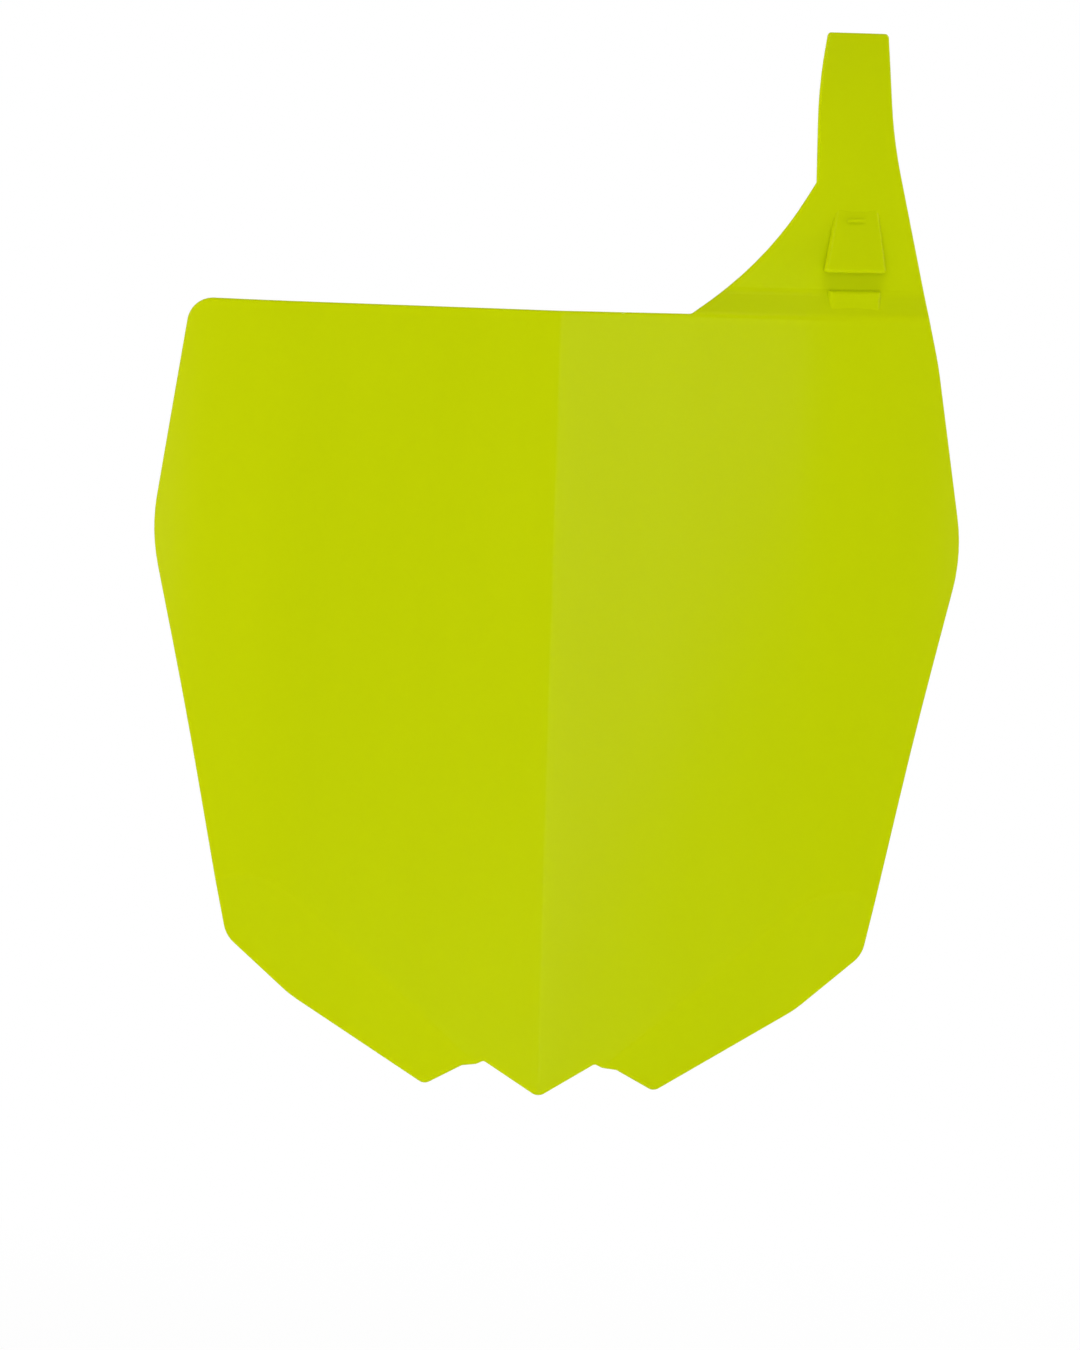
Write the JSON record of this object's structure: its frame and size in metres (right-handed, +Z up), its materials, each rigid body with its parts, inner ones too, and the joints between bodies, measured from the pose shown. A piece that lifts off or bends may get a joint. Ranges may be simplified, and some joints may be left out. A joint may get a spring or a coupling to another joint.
{
  "type": "racing number board",
  "caption": "Moulded motorcycle front number board: a creased shield with curled-back sides, a notched lower edge, a louvred hose strap, and a bolt lug and locating pegs behind.",
  "frame": {"origin": "middle of the bolt hole in the fixing lug behind the crease", "axes": "+Z up along the crease, -Y the way the board faces, +X to the right of someone facing it"},
  "size_m": [0.2402, 0.0416, 0.3152],
  "materials": {
    "board_plastic": "moulded polypropylene, fluorescent yellow-green, satin gloss"
  },
  "bodies": {
    "root": {"number_board": "board_plastic"}
  },
  "joints": []
}
